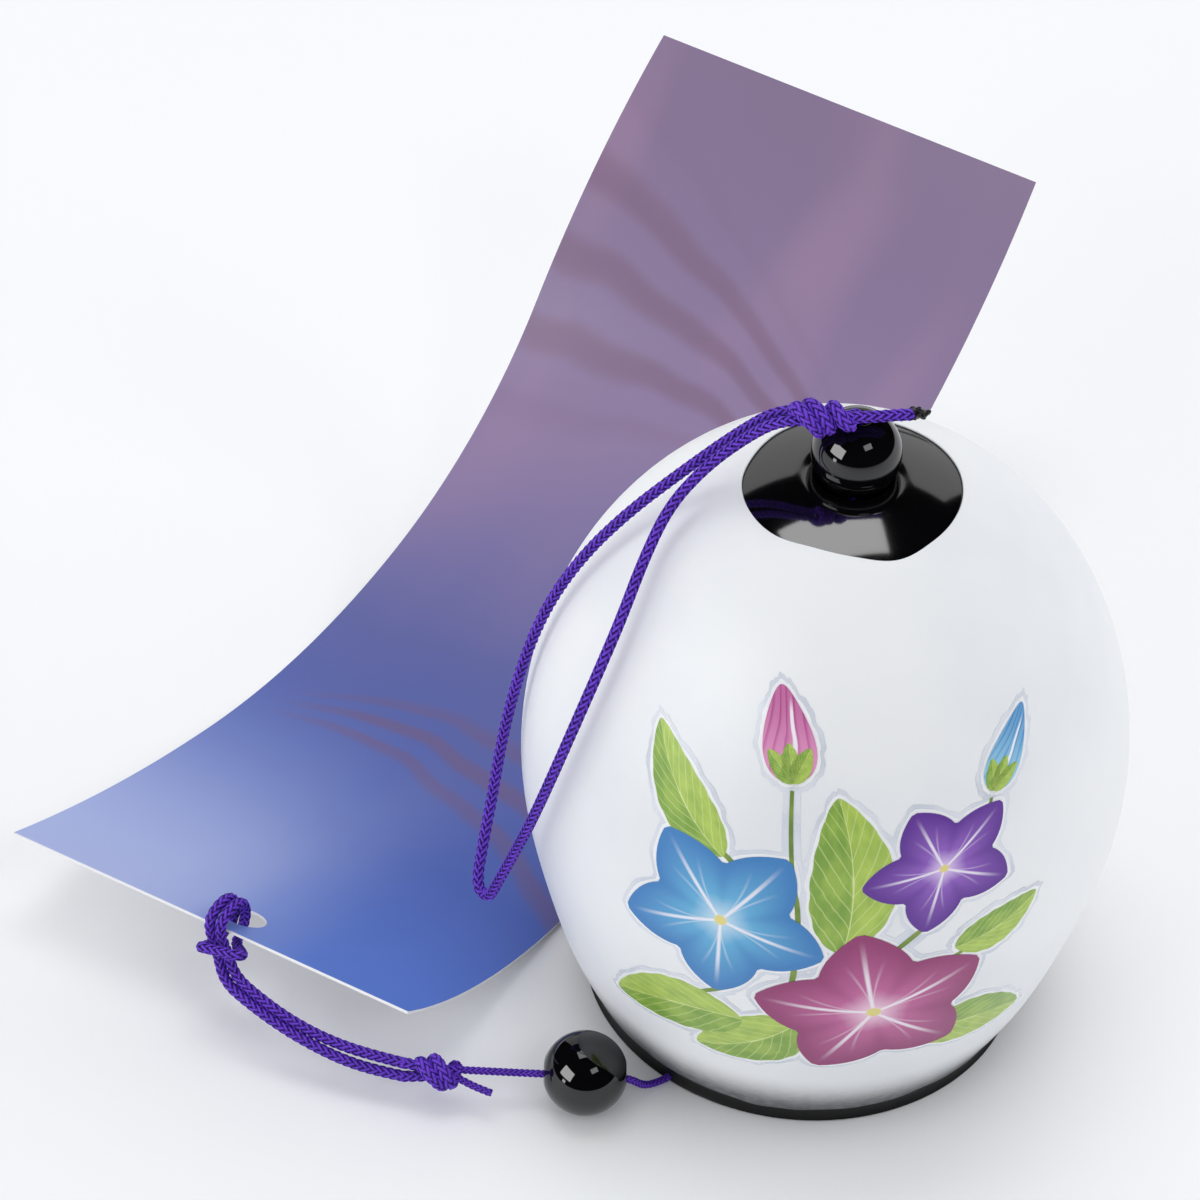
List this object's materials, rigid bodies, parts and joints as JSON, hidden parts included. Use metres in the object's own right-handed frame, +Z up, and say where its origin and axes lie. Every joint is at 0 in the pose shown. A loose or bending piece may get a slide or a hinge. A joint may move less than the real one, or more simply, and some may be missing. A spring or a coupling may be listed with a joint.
{
  "type": "wind bell",
  "caption": "Hanging glass wind bell with a white coat, a cord loop, black beads, an inner stop and a paper strip that catches the wind.",
  "frame": {"origin": "centre of the open mouth, in the plane of the rim that the bell stands on", "axes": "+Z up the bell's own axis towards the crown; -Y towards the viewer of the picture, so the clapper cord leaves the rim at the front left; +X to the viewer's right"},
  "size_m": [0.1285, 0.1591, 0.0897],
  "materials": {
    "black_glass": "gloss",
    "white_coat": "matt",
    "bead": "gloss",
    "cord": "braided",
    "burnt_cord": "melted",
    "paper": "printed"
  },
  "bodies": {
    "bell": {"glass_body": "black_glass", "white_coat": "white_coat", "rim_cord": "cord", "strip_knot": "cord"},
    "hanger": {"loop_knot": "cord", "loop_ends": "cord", "burnt_tips": "burnt_cord", "crown_cord": "cord", "stop_knot": "cord"},
    "loop": {"hanging_loop": "cord"},
    "crown_ball": {"crown_bead": "bead"},
    "stop_ball": {"stop_bead": "bead"},
    "clapper": {"clapper_bead": "bead"},
    "tail": {"strip_cord": "cord"},
    "strip": {"strip_hitch": "cord", "paper_strip": "paper"}
  },
  "joints": [
    {"name": "hanger_lift", "type": "slide", "parent": "bell", "child": "hanger", "axis": [0, 0, 1], "range_m": [0, 0.013]},
    {"name": "loop_lift", "type": "hinge", "parent": "hanger", "child": "loop", "pos_m": [-0.0087, -0.00175, 0.08715], "axis": [0, 1, 0], "range_deg": [0, 110]},
    {"name": "crown_bead_turn", "type": "hinge", "parent": "hanger", "child": "crown_ball", "pos_m": [0, 0, 0.081], "axis": [0, 0, 1], "continuous": true},
    {"name": "stop_bead_turn", "type": "hinge", "parent": "hanger", "child": "stop_ball", "pos_m": [0, 0, 0.06], "axis": [0, 0, 1], "continuous": true},
    {"name": "clapper_slide", "type": "slide", "parent": "bell", "child": "clapper", "axis": [-0.9991, -0.0422, 0], "range_m": [0, 0.0055]},
    {"name": "tail_swing", "type": "hinge", "parent": "bell", "child": "tail", "pos_m": [-0.0463, -0.02595, 0.005], "axis": [0, 0, 1], "range_deg": [0, 60]},
    {"name": "strip_swing", "type": "hinge", "parent": "tail", "child": "strip", "pos_m": [-0.068, -0.0162, 0.0112], "axis": [0, 0, 1], "range_deg": [0, 45]}
  ]
}
